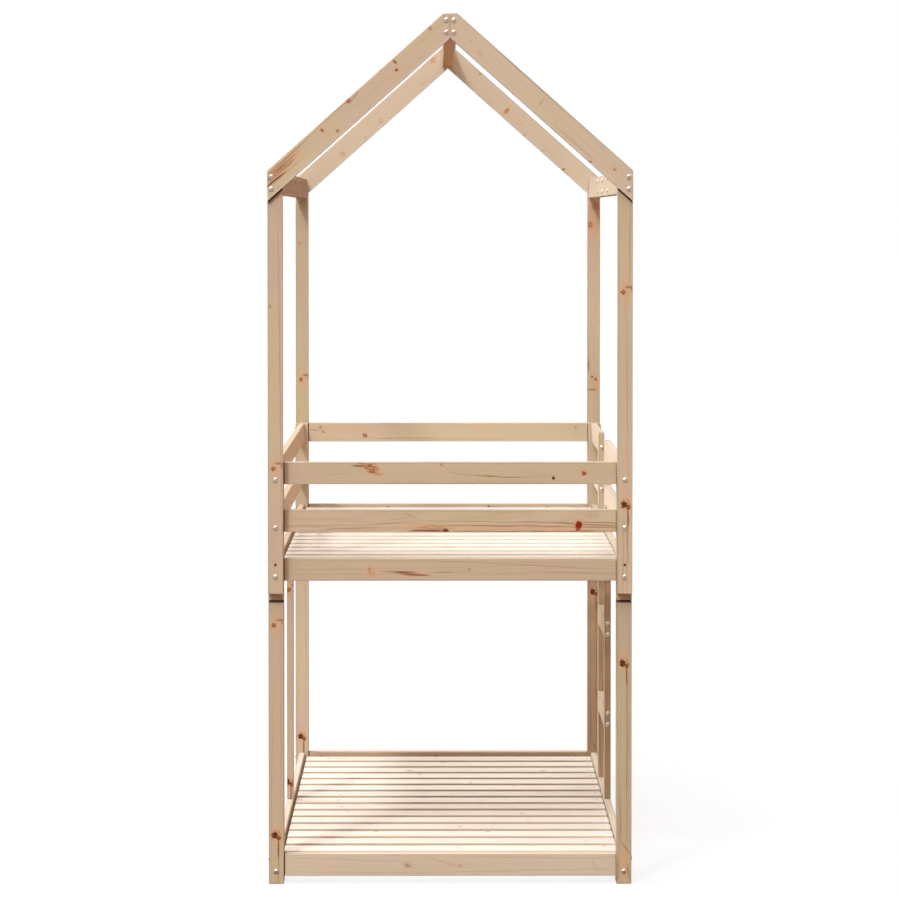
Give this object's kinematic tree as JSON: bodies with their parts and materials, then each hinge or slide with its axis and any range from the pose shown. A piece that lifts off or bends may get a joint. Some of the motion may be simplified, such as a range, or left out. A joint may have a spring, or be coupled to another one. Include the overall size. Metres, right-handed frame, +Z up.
{
  "type": "wooden bunk bed",
  "caption": "Pine bunk bed with slatted bases, end and side guards, a side ladder and a house-shaped roof frame.",
  "frame": {"origin": "centre of the footprint, on the floor under the posts", "axes": "+Z up, +Y along the bed away from the end that the picture faces, +X towards the ladder side"},
  "size_m": [0.9632, 2.1938, 2.2933],
  "materials": {
    "post_pine": "bare planed pine, knotty, with lightly rounded edges",
    "rail_pine": "bare planed pine, knotty, with lightly rounded edges",
    "roof_pine": "bare planed pine, knotty, with lightly rounded edges",
    "slat_pine": "pale bare planed pine",
    "pin_beech": "turned beech dowel",
    "bolt_steel": "zinc-plated furniture bolt heads, barrel nuts and screws"
  },
  "bodies": {
    "root": {"back_left_house_leg": "post_pine", "back_left_lower_post": "post_pine", "back_left_post_pin": "pin_beech", "back_left_rafter": "roof_pine", "back_left_upper_post": "post_pine", "back_lower_bed_end_rail": "rail_pine", "back_lower_end_guard": "rail_pine", "back_right_house_leg": "post_pine", "back_right_lower_post": "post_pine", "back_right_post_pin": "pin_beech", "back_right_rafter": "roof_pine", "back_right_upper_post": "post_pine", "back_upper_bed_end_rail": "rail_pine", "back_upper_end_guard": "rail_pine", "far_guard_post": "rail_pine", "front_left_house_leg": "post_pine", "front_left_lower_post": "post_pine", "front_left_post_pin": "pin_beech", "front_left_rafter": "roof_pine", "front_left_upper_post": "post_pine", "front_lower_bed_end_rail": "rail_pine", "front_lower_end_guard": "rail_pine", "front_right_house_leg": "post_pine", "front_right_lower_post": "post_pine", "front_right_post_pin": "pin_beech", "front_right_rafter": "roof_pine", "front_right_upper_post": "post_pine", "front_upper_bed_end_rail": "rail_pine", "front_upper_end_guard": "rail_pine", "ladder_far_upright": "rail_pine", "ladder_near_upright": "rail_pine", "ladder_rung_1": "rail_pine", "ladder_rung_2": "rail_pine", "left_eaves_beam_back": "roof_pine", "left_eaves_beam_front": "roof_pine", "left_lower_guard": "rail_pine", "left_lower_side_rail_back": "rail_pine", "left_lower_side_rail_front": "rail_pine", "left_middle_post": "rail_pine", "left_upper_guard": "rail_pine", "left_upper_side_rail_back": "rail_pine", "left_upper_side_rail_front": "rail_pine", "lower_slat_base": "slat_pine", "near_guard_post": "rail_pine", "ridge_beam_back": "roof_pine", "ridge_beam_front": "roof_pine", "right_eaves_beam_back": "roof_pine", "right_eaves_beam_front": "roof_pine", "right_far_lower_guard": "rail_pine", "right_far_upper_guard": "rail_pine", "right_lower_side_rail_back": "rail_pine", "right_lower_side_rail_front": "rail_pine", "right_near_lower_guard": "rail_pine", "right_near_upper_guard": "rail_pine", "right_upper_side_rail_back": "rail_pine", "right_upper_side_rail_front": "rail_pine", "upper_slat_base": "slat_pine"}
  },
  "joints": []
}
